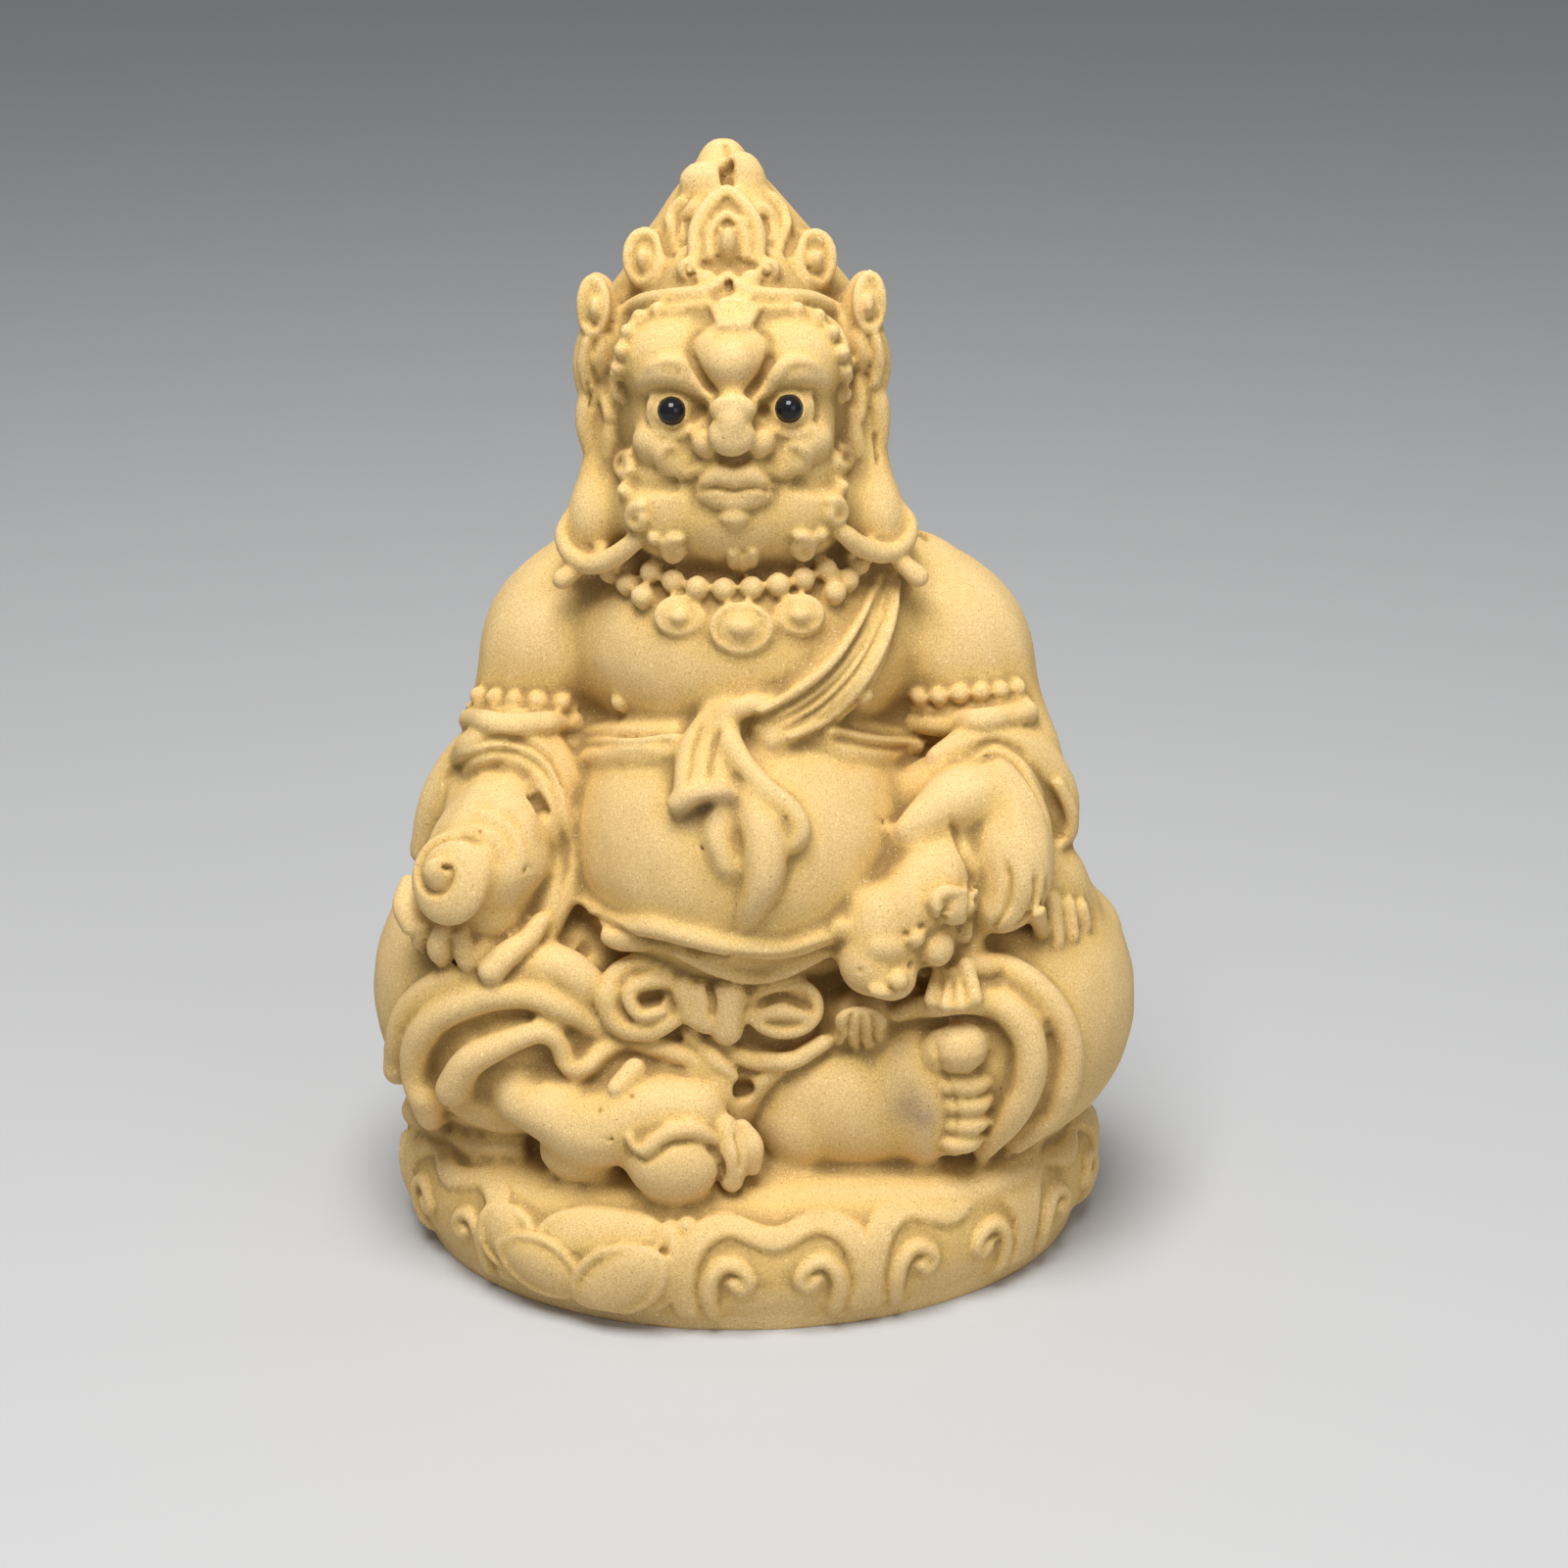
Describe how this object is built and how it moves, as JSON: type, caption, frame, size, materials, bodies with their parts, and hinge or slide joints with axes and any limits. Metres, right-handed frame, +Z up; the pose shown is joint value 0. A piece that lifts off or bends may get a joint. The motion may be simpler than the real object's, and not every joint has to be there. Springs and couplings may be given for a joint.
{
  "type": "seated deity statuette",
  "caption": "Seated, big-bellied deity statuette in buff unglazed clay on a low cloud-carved oval base, holding a shell and a mongoose, with black bead eyes.",
  "frame": {"origin": "centre of the level underside of the base, which it stands on", "axes": "+Z up through the crown, -Y out of the figure's front, +X to the right of someone facing it"},
  "size_m": [0.0631, 0.049, 0.09],
  "materials": {
    "clay": "unglazed fired buff clay, matte and finely grained",
    "eye_glass": "polished black opaque glass"
  },
  "bodies": {
    "root": {"figure": "clay", "left_eye_bead": "eye_glass", "right_eye_bead": "eye_glass"}
  },
  "joints": []
}
